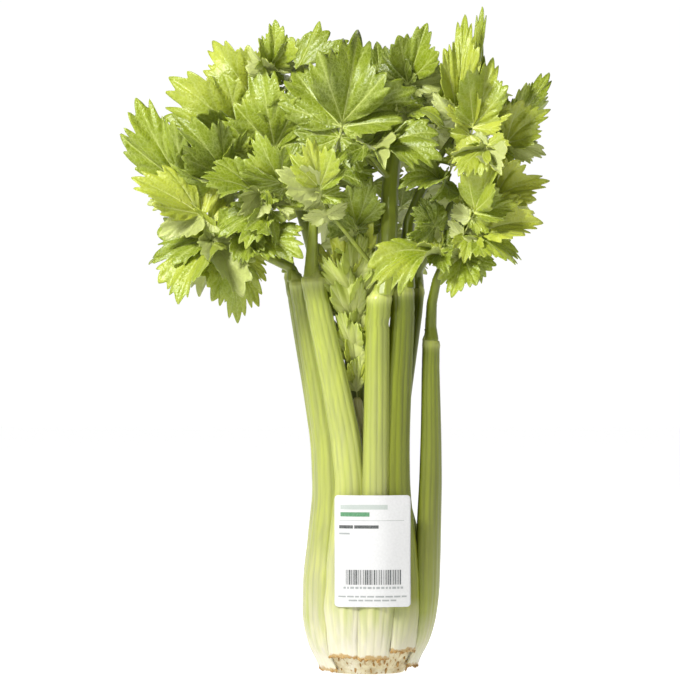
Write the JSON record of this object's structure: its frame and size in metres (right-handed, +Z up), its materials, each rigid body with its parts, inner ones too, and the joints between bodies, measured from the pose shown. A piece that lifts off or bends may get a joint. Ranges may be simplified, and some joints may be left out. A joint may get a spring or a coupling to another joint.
{
  "type": "head of celery",
  "caption": "Whole head of celery with ribbed stalks clasping a trimmed butt, fan-shaped toothed leaves, a pale heart and a plain printed label on the front.",
  "frame": {"origin": "centre of the flat cut face under the butt", "axes": "+Z up along the head, from the cut face to the leaves; the front of the head, with the label, looks along -Y; +X is to the right as seen from the front"},
  "size_m": [0.2438, 0.1799, 0.3701],
  "materials": {
    "butt": "matte",
    "stalk": "satin",
    "heart": "satin",
    "leaf": "satin",
    "label": "satin"
  },
  "bodies": {
    "root": {"butt": "butt", "leaf_left_outer_1": "leaf", "leaf_left_outer_2": "leaf", "leaf_left_outer_3": "leaf", "leaf_left_outer_4": "leaf", "stalk_left_outer": "stalk", "leaf_front_left_1": "leaf", "leaf_front_left_2": "leaf", "leaf_front_left_3": "leaf", "stalk_front_left": "stalk", "leaf_front_centre_1": "leaf", "leaf_front_centre_2": "leaf", "leaf_front_centre_3": "leaf", "leaf_front_centre_4": "leaf", "leaf_front_centre_5": "leaf", "leaf_front_centre_6": "leaf", "stalk_front_centre": "stalk", "leaf_front_right_1": "leaf", "leaf_front_right_2": "leaf", "leaf_front_right_3": "leaf", "leaf_front_right_4": "leaf", "stalk_front_right": "stalk", "leaf_right_outer_1": "leaf", "leaf_right_outer_2": "leaf", "leaf_right_outer_3": "leaf", "leaf_right_outer_4": "leaf", "leaf_right_outer_5": "leaf", "stalk_right_outer": "stalk", "leaf_back_right_1": "leaf", "leaf_back_right_2": "leaf", "leaf_back_right_3": "leaf", "leaf_back_right_4": "leaf", "leaf_back_right_5": "leaf", "stalk_back_right": "stalk", "leaf_back_1": "leaf", "leaf_back_2": "leaf", "leaf_back_3": "leaf", "leaf_back_4": "leaf", "stalk_back": "stalk", "leaf_back_left_1": "leaf", "leaf_back_left_2": "leaf", "leaf_back_left_3": "leaf", "leaf_back_left_4": "leaf", "leaf_back_left_5": "leaf", "stalk_back_left": "stalk", "leaf_left_1": "leaf", "leaf_left_2": "leaf", "leaf_left_3": "leaf", "leaf_left_4": "leaf", "stalk_left": "stalk", "leaf_inner_left_1": "leaf", "leaf_inner_left_2": "leaf", "leaf_inner_left_3": "leaf", "stalk_inner_left": "stalk", "leaf_inner_right_1": "leaf", "leaf_inner_right_2": "leaf", "leaf_inner_right_3": "leaf", "stalk_inner_right": "stalk", "heart": "heart", "label": "label"}
  },
  "joints": []
}
